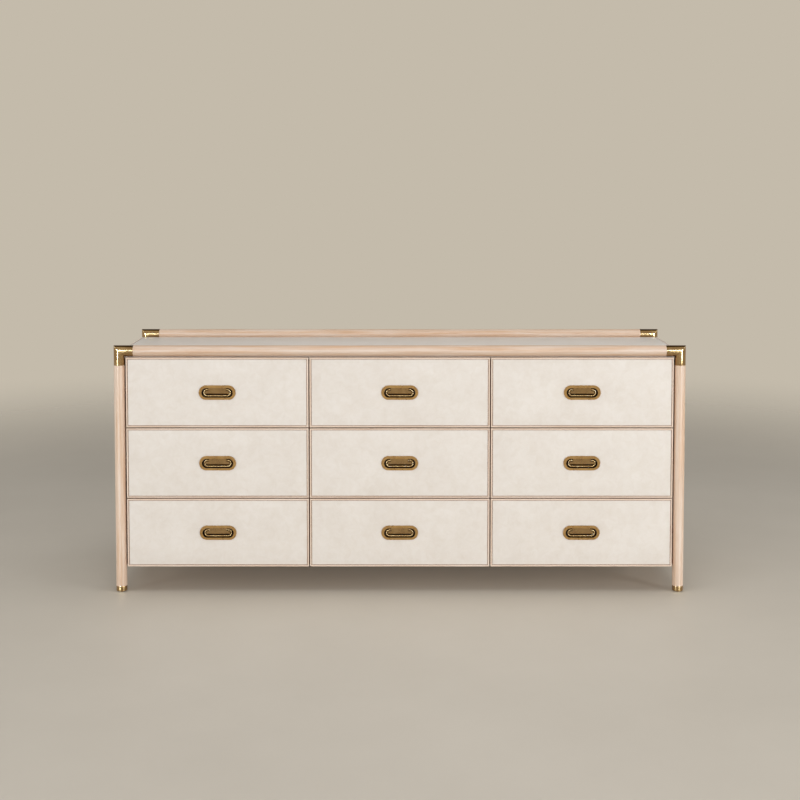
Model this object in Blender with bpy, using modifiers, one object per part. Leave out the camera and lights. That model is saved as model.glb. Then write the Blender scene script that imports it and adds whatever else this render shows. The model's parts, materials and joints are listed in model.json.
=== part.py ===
"""A low dresser with nine drawers, in metres, with +Z up and its front towards -Y.

Two upside-down U frames of round dowel stand one in front and one behind. Mitred brass elbows join
each post to its rail, and brass ferrules are the feet. A covered case hangs between the frames. Its
drawers run on hardwood strips in grooves, and each front has a swinging bail in a recessed brass cup.
"""

import math

import bmesh
import bpy
from mathutils import Matrix

# Overall size
WIDTH = 1.830
DEPTH = 0.508
HEIGHT = 0.797

# Gaps and cuts
SEAT = 0.0003
OVERRUN = 0.006
WELD = 0.000002

# Dowel frames
DOWEL_D = 0.035
TENON_D = 0.026
TENON_CHAMFER = 0.001
TENON_STOP = 0.002

# Brass elbows
BRASS_PROUD = 0.0004
ELBOW_REACH = 0.064
ELBOW_CHAMFER = 0.0007

# Brass feet
FOOT_H = 0.0165
FOOT_SOCKET = 0.010
FOOT_ROUND = 0.003
GLIDE_D = 0.0235
GLIDE_H = 0.0018
GLIDE_CHAMFER = 0.0006

# Case
CASE_RISE = 0.083
TOP_SINK = 0.026
SIDE_INSET = 0.005
PANEL_T = 0.020
BOTTOM_T = 0.018
BOTTOM_LIFT = 0.002
BACK_T = 0.008
BACK_INSET = 0.024

# Edging and covering, alike on the fronts, the sides and the top
BEAD_W = 0.0038
BEAD_PROUD = 0.0009
EDGE_CHANNEL_W = 0.0024
COVER_T = 0.0026
COVER_ROUND = 0.0009

# Drawer fronts
FRONT_T = 0.020
FRONT_SETBACK = 0.005
POST_GAP = 0.005
RAIL_GAP = 0.003
COLUMN_GAP = 0.004
ROW_GAP = 0.0035
CENTRE_FRONT_W = 0.576
BOTTOM_FRONT_H = 0.220

# Drawer boxes and the runners that carry them
BOX_L = 0.430
BOX_WALL = 0.014
BOX_GAP = 0.0045
BOX_DROP = 0.024
BOX_RISE = 0.027
BOX_BITE = 0.006
DRAWER_BOTTOM_T = 0.006
DRAWER_BOTTOM_LIFT = 0.008
RUNNER_H = 0.018
RUNNER_BITE = 0.0065
RUNNER_PLAY = 0.0006

# Pulls
PLATE_W = 0.118
PLATE_H = 0.0465
PLATE_T = 0.0024
PLATE_ROUND = 0.0014
RIM_SIDE = 0.009
RIM_TOP = 0.0092
RIM_FOOT = 0.0073
CUP_DEPTH = 0.0145
CUP_WALL = 0.0016
LAND_W = 0.056
LAND_H = 0.0115
LAND_STEP = 0.0005
SCOOP_RISE = 0.007

# Bails
BAIL_WIRE_D = 0.0045
BAIL_SIDE_GAP = 0.0055
BAIL_FOOT_GAP = 0.0035
BAIL_ARM_GAP = 0.0005
PIVOT_DROP = 0.005
PIVOT_DEPTH = 0.0032
PIN_D = 0.0025
PIN_L = 0.004
PIN_TAPER = 0.0004

# Counts and angles
ROUND_STEPS = 24
FOOT_STEPS = 2
STADIUM_STEPS = 8
BAIL_STEPS = 6
PIN_STEPS = 8
ROUNDING_SEGMENTS = 2
SHARP_ANGLE = math.radians(35)
FLAT_ANGLE = math.radians(1)

# Places that follow from the sizes above
SLEEVE_R = DOWEL_D / 2 + BRASS_PROUD
POST_X = WIDTH / 2 - SLEEVE_R
POST_Y = DEPTH / 2 - SLEEVE_R
RAIL_Z = HEIGHT - SLEEVE_R
ARM_END = ELBOW_REACH - SLEEVE_R
TENON_TIP = SLEEVE_R + TENON_STOP
SCRIBE_R = SLEEVE_R + SEAT

FRONT_FACE_Y = FRONT_SETBACK - DEPTH / 2
CASE_FRONT_Y = FRONT_FACE_Y + FRONT_T + SEAT
BACK_REAR_Y = DEPTH / 2 - BACK_INSET
BACK_FACE_Y = BACK_REAR_Y - BACK_T

TOP_FACE_Z = HEIGHT - TOP_SINK
TOP_UNDER_Z = TOP_FACE_Z - PANEL_T
BOTTOM_UNDER_Z = CASE_RISE + BOTTOM_LIFT
BOTTOM_FACE_Z = BOTTOM_UNDER_Z + BOTTOM_T
SIDE_FACE_X = WIDTH / 2 - SIDE_INSET
SIDE_INNER_X = SIDE_FACE_X - PANEL_T

COVER_SINK = BEAD_PROUD + COVER_T + SEAT
COVER_MARGIN = BEAD_W + EDGE_CHANNEL_W

FRONTS_TOP = RAIL_Z - DOWEL_D / 2 - RAIL_GAP
UPPER_FRONT_H = (FRONTS_TOP - CASE_RISE - BOTTOM_FRONT_H) / 2 - ROW_GAP
OUTER_FRONT_W = POST_X - DOWEL_D / 2 - POST_GAP - CENTRE_FRONT_W / 2 - COLUMN_GAP
DIVIDER_X = CENTRE_FRONT_W / 2 + COLUMN_GAP / 2
OUTER_COLUMN_X = DIVIDER_X + COLUMN_GAP / 2 + OUTER_FRONT_W / 2

RECESS_W = PLATE_W - 2 * RIM_SIDE
RECESS_H = PLATE_H - RIM_TOP - RIM_FOOT
RECESS_Y = (RIM_FOOT - RIM_TOP) / 2
CUP_W = RECESS_W + 2 * CUP_WALL
CUP_H = RECESS_H + 2 * CUP_WALL
PIVOT_Y = PLATE_H / 2 - RIM_TOP - PIVOT_DROP
PIVOT_Z = PLATE_T - PIVOT_DEPTH
BAIL_DROP = RECESS_H - PIVOT_DROP - BAIL_FOOT_GAP - BAIL_WIRE_D / 2
BAIL_REACH = RECESS_W / 2 - BAIL_SIDE_GAP - BAIL_WIRE_D / 2

ENDS = (("left", -1), ("right", 1))
FACES = (("front", -1), ("back", 1))
COLUMNS = (
    ("left", -OUTER_COLUMN_X, OUTER_FRONT_W),
    ("centre", 0, CENTRE_FRONT_W),
    ("right", OUTER_COLUMN_X, OUTER_FRONT_W),
)


def row_places():
    """Name, middle height and front height of each row, from the top down."""
    rows = []
    top = FRONTS_TOP
    for name, height in (("top", UPPER_FRONT_H), ("middle", UPPER_FRONT_H), ("bottom", BOTTOM_FRONT_H)):
        rows.append((name, top - height / 2, height))
        top -= height + ROW_GAP
    return rows


ROWS = row_places()


# Scene and objects


def clear_scene():
    for obj in list(bpy.data.objects):
        bpy.data.objects.remove(obj, do_unlink=True)


def new_collection(name):
    collection = bpy.data.collections.new(name)
    bpy.context.scene.collection.children.link(collection)
    return collection


def place(name, data, material, location, parent=None, rotation=(0, 0, 0)):
    """Puts mesh or curve data in the scene as one piece of the dresser."""
    obj = bpy.data.objects.new(name, data)
    PIECES.objects.link(obj)
    obj.location = location
    obj.rotation_euler = rotation
    obj.parent = parent
    if not data.materials:
        data.materials.append(material)
    return obj


def place_world(name, mesh, material, low, high):
    """Places a mesh made in world coordinates, with its origin at the middle of the box from low to high."""
    middle = [(a + b) / 2 for a, b in zip(low, high)]
    mesh.transform(Matrix.Translation([-value for value in middle]))
    return place(name, mesh, material, middle)


def anchor(name, location):
    """An empty that carries what moves together."""
    empty = bpy.data.objects.new(name, None)
    empty.empty_display_size = DOWEL_D
    empty.location = location
    PIECES.objects.link(empty)
    return empty


# Materials


def linear(colour):
    """Linear values of an sRGB colour given in 0 to 255."""
    shares = [value / 255 for value in colour]
    return [s / 12.92 if s <= 0.04045 else ((s + 0.055) / 1.055) ** 2.4 for s in shares]


def surface(name, colour, roughness, metallic=0.0):
    material = bpy.data.materials.new(name)
    material.use_nodes = True
    shader = material.node_tree.nodes["Principled BSDF"]
    shader.inputs["Base Color"].default_value = (*linear(colour), 1)
    shader.inputs["Roughness"].default_value = roughness
    shader.inputs["Metallic"].default_value = metallic
    material.diffuse_color = (*linear(colour), 1)
    return material


def limed_oak():
    return surface("limed_oak", (222, 197, 172), 0.55)


def drawer_wood():
    return surface("drawer_wood", (214, 187, 150), 0.6)


def cream_covering():
    return surface("cream_covering", (232, 223, 212), 0.5)


def antique_brass():
    return surface("antique_brass", (168, 131, 74), 0.32, 1.0)


# Shapes


def mesh_of(shape):
    """Turns a bmesh into mesh data and frees it."""
    mesh = bpy.data.meshes.new("shape")
    shape.to_mesh(mesh)
    shape.free()
    return mesh


def evaluated_mesh(obj):
    """Mesh of an object with its modifiers applied and its loose seams welded. The object goes."""
    bpy.context.scene.collection.objects.link(obj)
    graph = bpy.context.evaluated_depsgraph_get()
    mesh = bpy.data.meshes.new_from_object(obj.evaluated_get(graph))
    bpy.data.objects.remove(obj)
    shape = bmesh.new()
    shape.from_mesh(mesh)
    bmesh.ops.remove_doubles(shape, verts=shape.verts, dist=WELD)
    bpy.data.meshes.remove(mesh)
    return mesh_of(shape)


def box_shape(low, high):
    """A box from its low corner to its high corner, as a bmesh."""
    shape = bmesh.new()
    bmesh.ops.create_cube(shape, size=1)
    bmesh.ops.scale(shape, vec=[b - a for a, b in zip(low, high)], verts=shape.verts)
    bmesh.ops.translate(shape, vec=[(a + b) / 2 for a, b in zip(low, high)], verts=shape.verts)
    return shape


def box(low, high):
    return mesh_of(box_shape(low, high))


def outer_face(shape, axis, sign):
    """The face whose middle lies furthest out along one axis."""
    return max(shape.faces, key=lambda face: face.calc_center_median()[axis] * sign)


def sink(shape, axis, sign, margin, depth):
    """Sinks a pocket in one side of a box and leaves a border as wide as the margin."""
    face = outer_face(shape, axis, sign)
    bmesh.ops.inset_region(shape, faces=[face], thickness=margin, use_even_offset=True)
    pocket = bmesh.ops.extrude_discrete_faces(shape, faces=[face])["faces"][0]
    step = [0, 0, 0]
    step[axis] = -sign * depth
    bmesh.ops.translate(shape, vec=step, verts=pocket.verts)


def round_rim(shape, axis, sign, radius):
    """Rounds the edges of the outer face on one side."""
    edges = outer_face(shape, axis, sign).edges[:]
    bmesh.ops.bevel(
        shape, geom=edges, offset=radius, segments=ROUNDING_SEGMENTS, profile=0.5, affect="EDGES"
    )


def smoothed(mesh):
    mesh.shade_smooth()
    mesh.set_sharp_from_angle(angle=SHARP_ANGLE)
    return mesh


def turned(profile, ring=False):
    """Mesh of a profile of (radius, height) points turned about Z. A ring's profile closes on itself."""
    mesh = bpy.data.meshes.new("profile")
    count = len(profile)
    edges = [(i, (i + 1) % count) for i in range(count if ring else count - 1)]
    mesh.from_pydata([(radius, 0, height) for radius, height in profile], edges, [])
    obj = bpy.data.objects.new("profile", mesh)
    screw = obj.modifiers.new("turn", "SCREW")
    screw.steps = ROUND_STEPS
    screw.render_steps = ROUND_STEPS
    screw.use_merge_vertices = True
    screw.merge_threshold = WELD
    return smoothed(evaluated_mesh(obj))


def prism(outline, thickness):
    """Mesh of a flat outline in XY with its thickness centred on Z."""
    curve = bpy.data.curves.new("outline", "CURVE")
    curve.dimensions = "2D"
    curve.fill_mode = "BOTH"
    curve.extrude = thickness / 2
    spline = curve.splines.new("POLY")
    spline.points.add(len(outline) - 1)
    for point, (x, y) in zip(spline.points, outline):
        point.co = (x, y, 0, 1)
    spline.use_cyclic_u = True
    return evaluated_mesh(bpy.data.objects.new("outline", curve))


def stadium(width, height):
    """Outline with straight long sides and half-round ends, about the origin."""
    radius = height / 2
    reach = width / 2 - radius
    points = []
    for side in (1, -1):
        for step in range(STADIUM_STEPS + 1):
            angle = math.pi * step / STADIUM_STEPS - math.pi / 2
            points.append((side * (reach + radius * math.cos(angle)), side * radius * math.sin(angle)))
    return points


def stadium_block(width, height, low, high, middle=0):
    """A stadium that runs from one height to another along Z, with its middle moved along Y."""
    mesh = prism(stadium(width, height), high - low)
    mesh.transform(Matrix.Translation((0, middle, (low + high) / 2)))
    return mesh


def combined(base, steps):
    """Mesh of the base after Boolean steps, each an operation and the mesh that it takes."""
    body = bpy.data.objects.new("body", base)
    tools = []
    for operation, mesh in steps:
        tool = bpy.data.objects.new("tool", mesh)
        bpy.context.scene.collection.objects.link(tool)
        tools.append(tool)
        boolean = body.modifiers.new(operation, "BOOLEAN")
        boolean.operation = operation
        boolean.object = tool
    mesh = evaluated_mesh(body)
    for tool in tools:
        bpy.data.objects.remove(tool)
    return mesh


# Dowel frames


def dowel(length_low, length_high, tenon_low, tenon_high):
    """A dowel between two shoulders, with a turned tenon beyond each."""
    tenon = TENON_D / 2
    tip = tenon - TENON_CHAMFER
    return turned(
        [
            (0, length_high + tenon_high),
            (tip, length_high + tenon_high),
            (tenon, length_high + tenon_high - TENON_CHAMFER),
            (tenon, length_high),
            (DOWEL_D / 2, length_high),
            (DOWEL_D / 2, length_low),
            (tenon, length_low),
            (tenon, length_low - tenon_low + TENON_CHAMFER),
            (tip, length_low - tenon_low),
            (0, length_low - tenon_low),
        ]
    )


def posts_and_rails(wood):
    elbow_tenon = ARM_END + SEAT - TENON_TIP
    post = dowel(FOOT_H + SEAT, RAIL_Z - ARM_END - SEAT, FOOT_SOCKET, elbow_tenon)
    rail_end = POST_X - ARM_END - SEAT
    rail = dowel(-rail_end, rail_end, elbow_tenon, elbow_tenon)
    for face, toward in FACES:
        place(f"top_rail_{face}", rail, wood, (0, toward * POST_Y, RAIL_Z), rotation=(0, math.pi / 2, 0))
        for end, out in ENDS:
            place(f"post_{face}_{end}", post, wood, (out * POST_X, toward * POST_Y, 0))


def elbow_mesh():
    """One arm of the elbow, laid at 45 degrees to the mitre and mirrored there. Its bore takes the tenon."""
    bore = TENON_D / 2 + SEAT
    past_mitre = SLEEVE_R + OVERRUN
    arm = turned(
        [
            (bore, past_mitre),
            (SLEEVE_R, past_mitre),
            (SLEEVE_R, ELBOW_CHAMFER - ARM_END),
            (SLEEVE_R - ELBOW_CHAMFER, -ARM_END),
            (bore, -ARM_END),
        ],
        ring=True,
    )
    arm.transform(Matrix.Rotation(-math.pi / 4, 4, "Y"))
    obj = bpy.data.objects.new("elbow", arm)
    mitre = obj.modifiers.new("mitre", "MIRROR")
    mitre.use_axis = (True, False, False)
    mitre.use_bisect_axis = (True, False, False)
    mitre.merge_threshold = WELD
    return smoothed(evaluated_mesh(obj))


def elbows(brass):
    mesh = elbow_mesh()
    for face, toward in FACES:
        for end, out in ENDS:
            spot = (out * POST_X, toward * POST_Y, RAIL_Z)
            place(f"elbow_{face}_{end}", mesh, brass, spot, rotation=(0, out * math.pi / 4, 0))


def foot_mesh():
    """A ferrule with a socket for the post's tenon, drawn in to a narrower glide."""
    bore = TENON_D / 2 + SEAT
    floor = FOOT_H - FOOT_SOCKET
    glide = GLIDE_D / 2
    profile = [(0, floor), (bore, floor), (bore, FOOT_H), (SLEEVE_R, FOOT_H)]
    for step in range(FOOT_STEPS + 1):
        angle = math.pi / 2 * step / FOOT_STEPS
        inward = FOOT_ROUND * (1 - math.cos(angle))
        profile.append((SLEEVE_R - inward, GLIDE_H + FOOT_ROUND * (1 - math.sin(angle))))
    profile += [(glide, GLIDE_H), (glide, GLIDE_CHAMFER), (glide - GLIDE_CHAMFER, 0), (0, 0)]
    return turned(profile)


def feet(brass):
    mesh = foot_mesh()
    for face, toward in FACES:
        for end, out in ENDS:
            place(f"foot_{face}_{end}", mesh, brass, (out * POST_X, toward * POST_Y, 0))


# Case


def scribe_cutters():
    """Cylinders a seat's gap wider than the brass along each post and rail, which cope the panels to them."""
    cutters = []
    for _, toward in FACES:
        lines = [((out * POST_X, toward * POST_Y, HEIGHT / 2), HEIGHT, 0) for _, out in ENDS]
        lines.append(((0, toward * POST_Y, RAIL_Z), WIDTH, math.pi / 2))
        for spot, length, turn in lines:
            shape = bmesh.new()
            bmesh.ops.create_cone(
                shape,
                cap_ends=True,
                segments=ROUND_STEPS,
                radius1=SCRIBE_R,
                radius2=SCRIBE_R,
                depth=length + 2 * OVERRUN,
            )
            cutter = bpy.data.objects.new("scribe", mesh_of(shape))
            cutter.location = spot
            cutter.rotation_euler = (0, turn, 0)
            cutter.hide_render = True
            cutter.display_type = "WIRE"
            CUTTERS.objects.link(cutter)
            cutters.append(cutter)
    return cutters


def scribe(panel, cutters):
    for number, cutter in enumerate(cutters):
        boolean = panel.modifiers.new(f"scribe_{number}", "BOOLEAN")
        boolean.operation = "DIFFERENCE"
        boolean.object = cutter


def side_reach():
    """How far a side panel's face runs towards the frames, where it meets the scribed curve."""
    offset = SIDE_FACE_X - POST_X
    return POST_Y - math.sqrt(SCRIBE_R**2 - offset**2)


def runner_boxes(face_x, out, tip):
    """The three runner strips on one face of a panel, as boxes that bite into the panel."""
    strips = []
    for _, middle, height in ROWS:
        top = middle + height / 2 - BOX_DROP
        low = middle - height / 2 + BOX_RISE
        centre = (top + low) / 2
        xs = sorted((face_x - out * BOX_BITE, tip))
        strips.append(
            box(
                (xs[0], CASE_FRONT_Y, centre - RUNNER_H / 2),
                (xs[1], BACK_FACE_Y - SEAT, centre + RUNNER_H / 2),
            )
        )
    return strips


def box_side(column_x, front_w, out):
    """Where a drawer box's outer side face lies."""
    return column_x + out * (front_w / 2 + COLUMN_GAP / 2 - PANEL_T / 2 - BOX_GAP)


def runner_tip(column_x, front_w, out):
    """Where the runner ends inside the groove of a drawer's side."""
    return box_side(column_x, front_w, out) - out * RUNNER_BITE


def side_box(out, x_in, x_out, margin):
    """Corners of a box in a side panel between two distances from the middle, inside its border."""
    xs = sorted((out * x_in, out * x_out))
    reach = side_reach() - margin
    return (xs[0], -reach, CASE_RISE + margin), (xs[1], reach, TOP_UNDER_Z - SEAT - margin)


def side_panels(wood, cutters):
    for name, out in ENDS:
        xs = sorted((out * SIDE_INNER_X, out * SIDE_FACE_X))
        low = (xs[0], -POST_Y, CASE_RISE)
        high = (xs[1], POST_Y, TOP_UNDER_Z - SEAT)
        recess = box(*side_box(out, SIDE_FACE_X - COVER_SINK, SIDE_FACE_X + OVERRUN, BEAD_W))
        tip = runner_tip(out * OUTER_COLUMN_X, OUTER_FRONT_W, out)
        steps = [("UNION", strip) for strip in runner_boxes(out * SIDE_INNER_X, -out, tip)]
        mesh = combined(box(low, high), steps + [("DIFFERENCE", recess)])
        panel = place_world(f"side_panel_{name}", mesh, wood, low, high)
        scribe(panel, cutters)


def side_covers(cream):
    face_x = SIDE_FACE_X - BEAD_PROUD
    for name, out in ENDS:
        low, high = side_box(out, face_x - COVER_T, face_x, COVER_MARGIN)
        shape = box_shape(low, high)
        round_rim(shape, 0, out, COVER_ROUND)
        place_world(f"side_cover_{name}", mesh_of(shape), cream, low, high)


def dividers(wood):
    for name, out in ENDS:
        low = (out * DIVIDER_X - PANEL_T / 2, CASE_FRONT_Y, BOTTOM_FACE_Z + SEAT)
        high = (out * DIVIDER_X + PANEL_T / 2, BACK_FACE_Y - SEAT, TOP_UNDER_Z - SEAT)
        outer_tip = runner_tip(out * OUTER_COLUMN_X, OUTER_FRONT_W, -out)
        inner_tip = runner_tip(0, CENTRE_FRONT_W, out)
        strips = runner_boxes(out * (DIVIDER_X + PANEL_T / 2), out, outer_tip)
        strips += runner_boxes(out * (DIVIDER_X - PANEL_T / 2), -out, inner_tip)
        mesh = combined(box(low, high), [("UNION", strip) for strip in strips])
        place_world(f"divider_{name}", mesh, wood, low, high)


def top_panel(wood, cutters):
    """The top lies between the rails, with a bead along each end that shows."""
    low = (-SIDE_FACE_X, CASE_FRONT_Y, TOP_UNDER_Z)
    high = (SIDE_FACE_X, -CASE_FRONT_Y, TOP_FACE_Z)
    bead_x = SIDE_FACE_X - BEAD_W
    recess = box(
        (-bead_x, CASE_FRONT_Y - OVERRUN, TOP_FACE_Z - COVER_SINK),
        (bead_x, OVERRUN - CASE_FRONT_Y, TOP_FACE_Z + OVERRUN),
    )
    panel = place_world("top_panel", combined(box(low, high), [("DIFFERENCE", recess)]), wood, low, high)
    scribe(panel, cutters)


def top_cover(cream):
    """The covering ends under the widest part of each rail, so that what lies on it clears the rails."""
    reach_x = SIDE_FACE_X - COVER_MARGIN
    reach_y = POST_Y - SCRIBE_R
    low = (-reach_x, -reach_y, TOP_FACE_Z - BEAD_PROUD - COVER_T)
    high = (reach_x, reach_y, TOP_FACE_Z - BEAD_PROUD)
    shape = box_shape(low, high)
    round_rim(shape, 2, 1, COVER_ROUND)
    place_world("top_cover", mesh_of(shape), cream, low, high)


def bottom_and_back(wood, cutters):
    inner_x = SIDE_INNER_X - SEAT
    low = (-inner_x, CASE_FRONT_Y, BOTTOM_UNDER_Z)
    high = (inner_x, BACK_FACE_Y - SEAT, BOTTOM_FACE_Z)
    bottom = place_world("bottom_panel", box(low, high), wood, low, high)
    scribe(bottom, cutters)
    low = (-inner_x, BACK_FACE_Y, BOTTOM_UNDER_Z)
    high = (inner_x, BACK_REAR_Y, TOP_UNDER_Z - SEAT)
    back = place_world("back_panel", box(low, high), wood, low, high)
    scribe(back, cutters)


# Drawers, each in its own frame with the middle of its front face at the origin


def to_front(mesh):
    """Stands a mesh that was made facing +Z up, to face the front."""
    mesh.transform(Matrix.Rotation(math.pi / 2, 4, "X"))
    return mesh


def cup_cutter(front, back):
    """The hole that the pull's cup goes through, from one depth behind the front face to another."""
    block = stadium_block(CUP_W + 2 * SEAT, CUP_H + 2 * SEAT, -back, -front, RECESS_Y)
    return to_front(block)


def drawer_box_mesh(front_w, front_h):
    """Grooved box and front board as the one wooden body that they are once glued."""
    half_w = box_side(0, front_w, 1)
    top = front_h / 2 - BOX_DROP
    low = BOX_RISE - front_h / 2
    box_front = FRONT_T - BOX_BITE
    box_rear = FRONT_T + BOX_L
    tub = box_shape((-half_w, box_front, low), (half_w, box_rear, top))
    sink(tub, 2, 1, BOX_WALL, top - low - DRAWER_BOTTOM_LIFT - DRAWER_BOTTOM_T)
    sink(tub, 2, -1, BOX_WALL, DRAWER_BOTTOM_LIFT)
    groove_top = (top + low) / 2 + RUNNER_H / 2 + SEAT
    groove_low = (top + low) / 2 - RUNNER_H / 2 - RUNNER_PLAY
    groove_x = half_w - RUNNER_BITE - RUNNER_PLAY
    steps = []
    for _, out in ENDS:
        xs = sorted((out * groove_x, out * (half_w + OVERRUN)))
        groove = box((xs[0], box_front - OVERRUN, groove_low), (xs[1], box_rear + OVERRUN, groove_top))
        steps.append(("DIFFERENCE", groove))
    board = box_shape((-front_w / 2, 0, -front_h / 2), (front_w / 2, FRONT_T, front_h / 2))
    sink(board, 1, -1, BEAD_W, COVER_SINK)
    steps.append(("UNION", mesh_of(board)))
    steps.append(("DIFFERENCE", cup_cutter(0, BEAD_PROUD + CUP_DEPTH)))
    return combined(mesh_of(tub), steps)


def front_cover_mesh(front_w, front_h):
    half_w = front_w / 2 - COVER_MARGIN
    half_h = front_h / 2 - COVER_MARGIN
    shape = box_shape((-half_w, BEAD_PROUD, -half_h), (half_w, BEAD_PROUD + COVER_T, half_h))
    round_rim(shape, 1, -1, COVER_ROUND)
    hole = cup_cutter(BEAD_PROUD - OVERRUN, BEAD_PROUD + COVER_T + OVERRUN)
    return combined(mesh_of(shape), [("DIFFERENCE", hole)])


def land_block():
    """The land between the bail's arms, which slopes back to the cup's floor below its lip."""
    top = RECESS_Y + RECESS_H / 2 + CUP_WALL / 2
    lip = RECESS_Y + RECESS_H / 2 - LAND_H
    foot = RECESS_Y - RECESS_H / 2 + SCOOP_RISE
    floor = CUP_WALL - CUP_DEPTH
    outline = [
        (top, PLATE_T - LAND_STEP),
        (top, floor - CUP_WALL / 2),
        (foot, floor - CUP_WALL / 2),
        (foot, floor),
        (lip, PLATE_T - LAND_STEP),
    ]
    mesh = prism(outline, LAND_W)
    turn = Matrix(((0, 0, 1), (1, 0, 0), (0, 1, 0))).to_4x4()
    mesh.transform(turn)
    return mesh


def pin_bore():
    shape = bmesh.new()
    radius = PIN_D / 2 + SEAT
    length = LAND_W + 2 * BAIL_ARM_GAP
    bmesh.ops.create_cone(
        shape, cap_ends=True, segments=PIN_STEPS, radius1=radius, radius2=radius, depth=length
    )
    bmesh.ops.rotate(shape, matrix=Matrix.Rotation(math.pi / 2, 3, "Y"), verts=shape.verts)
    bmesh.ops.translate(shape, vec=(0, PIVOT_Y, PIVOT_Z), verts=shape.verts)
    return mesh_of(shape)


def pull_plate_mesh():
    """Rim, cup, land and pin bore, made facing +Z with the rim's back at the origin."""
    shape = bmesh.new()
    rim = stadium_block(PLATE_W, PLATE_H, 0, PLATE_T)
    shape.from_mesh(rim)
    bmesh.ops.dissolve_limit(shape, angle_limit=FLAT_ANGLE, verts=shape.verts, edges=shape.edges)
    round_rim(shape, 2, 1, PLATE_ROUND)
    steps = [
        ("UNION", stadium_block(CUP_W, CUP_H, -CUP_DEPTH, PLATE_T / 2, RECESS_Y)),
        ("DIFFERENCE", stadium_block(RECESS_W, RECESS_H, CUP_WALL - CUP_DEPTH, PLATE_T + OVERRUN, RECESS_Y)),
        ("UNION", land_block()),
        ("DIFFERENCE", pin_bore()),
    ]
    return smoothed(combined(mesh_of(shape), steps))


def bail_curve():
    """A C of round wire hung from its own arms. Its origin is on the pivot's axis."""
    radius = BAIL_DROP / 2
    bend_x = BAIL_REACH - radius
    thin = PIN_D / BAIL_WIRE_D
    arm_end = LAND_W / 2 + BAIL_ARM_GAP
    half = [(LAND_W / 2 - PIN_L, 0, thin), (arm_end - PIN_TAPER, 0, thin), (arm_end, 0, 1)]
    for step in range(BAIL_STEPS + 1):
        angle = math.pi / 2 - math.pi * step / BAIL_STEPS
        half.append((bend_x + radius * math.cos(angle), radius * math.sin(angle) - radius, 1))
    points = half + [(-x, y, share) for x, y, share in reversed(half)]
    curve = bpy.data.curves.new("bail", "CURVE")
    curve.dimensions = "3D"
    curve.twist_mode = "Z_UP"
    curve.bevel_depth = BAIL_WIRE_D / 2
    curve.bevel_resolution = 2
    curve.use_fill_caps = True
    spline = curve.splines.new("POLY")
    spline.points.add(len(points) - 1)
    for point, (x, y, share) in zip(spline.points, points):
        point.co = (x, y, 0, 1)
        point.radius = share
    spline.use_smooth = True
    return curve


def drawers(wood, cream, brass):
    plate = pull_plate_mesh()
    bail = bail_curve()
    to_the_front = (math.pi / 2, 0, 0)
    plate_y = BEAD_PROUD - SEAT
    shared = {}
    for row, middle, front_h in ROWS:
        for column, column_x, front_w in COLUMNS:
            size = (front_w, front_h)
            if size not in shared:
                shared[size] = (drawer_box_mesh(front_w, front_h), front_cover_mesh(front_w, front_h))
            box_mesh, cover_mesh = shared[size]
            name = f"drawer_{row}_{column}"
            slide = anchor(f"slide_{row}_{column}", (column_x, FRONT_FACE_Y, middle))
            place(f"{name}_box", box_mesh, wood, (0, 0, 0), slide)
            place(f"{name}_cover", cover_mesh, cream, (0, 0, 0), slide)
            place(f"{name}_pull_plate", plate, brass, (0, plate_y, 0), slide, to_the_front)
            pivot = (0, plate_y - PIVOT_Z, PIVOT_Y)
            place(f"{name}_bail", bail, brass, pivot, slide, to_the_front)


clear_scene()
PIECES = new_collection("dresser")
CUTTERS = new_collection("dresser_cutters")


def main():
    oak = limed_oak()
    cream = cream_covering()
    brass = antique_brass()
    box_wood = drawer_wood()
    cutters = scribe_cutters()
    posts_and_rails(oak)
    elbows(brass)
    feet(brass)
    side_panels(oak, cutters)
    side_covers(cream)
    dividers(oak)
    top_panel(oak, cutters)
    top_cover(cream)
    bottom_and_back(oak, cutters)
    drawers(box_wood, cream, brass)


main()
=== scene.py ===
import json
import math

import bmesh
import bpy
from mathutils import Matrix, Vector

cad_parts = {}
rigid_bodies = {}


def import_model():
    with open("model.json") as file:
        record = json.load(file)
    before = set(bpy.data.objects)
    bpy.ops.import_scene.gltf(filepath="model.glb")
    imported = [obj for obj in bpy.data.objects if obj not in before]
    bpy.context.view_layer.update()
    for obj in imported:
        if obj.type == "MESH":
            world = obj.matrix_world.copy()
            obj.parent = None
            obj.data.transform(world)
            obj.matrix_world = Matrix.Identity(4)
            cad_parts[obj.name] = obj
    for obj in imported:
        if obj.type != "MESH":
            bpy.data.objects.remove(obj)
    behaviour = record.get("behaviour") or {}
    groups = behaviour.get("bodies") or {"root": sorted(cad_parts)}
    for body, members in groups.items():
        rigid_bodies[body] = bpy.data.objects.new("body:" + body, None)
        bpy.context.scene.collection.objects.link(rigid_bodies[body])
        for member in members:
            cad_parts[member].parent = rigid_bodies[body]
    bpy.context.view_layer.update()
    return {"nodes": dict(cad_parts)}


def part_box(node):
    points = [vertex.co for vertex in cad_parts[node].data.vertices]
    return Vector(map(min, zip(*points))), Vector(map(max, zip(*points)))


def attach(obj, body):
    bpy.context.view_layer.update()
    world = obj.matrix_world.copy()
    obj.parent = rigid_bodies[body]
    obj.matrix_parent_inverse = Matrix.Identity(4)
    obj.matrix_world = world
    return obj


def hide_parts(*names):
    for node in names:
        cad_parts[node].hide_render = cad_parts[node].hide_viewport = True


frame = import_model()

# Looks of a low dresser with nine drawers: limed oak dowel frames with brass elbows and feet, cream
# coverings, and recessed brass pulls. Metres, +Z up, front towards -Y, in the frame of the CAD model.

ENDS = (("left", -1), ("right", 1))
FACES = ("front", "back")
ROWS = ("top", "middle", "bottom")
COLUMNS = ("left", "centre", "right")


def middle(node):
    """Middle of the box round a node."""
    low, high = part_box(node)
    return (low + high) / 2


def extent(node):
    """Width, depth and height of the box round a node."""
    low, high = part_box(node)
    return high - low


# How much higher the ferrules reach than in the frame, as photographed
FERRULE_RISE = 0.0025

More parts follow.
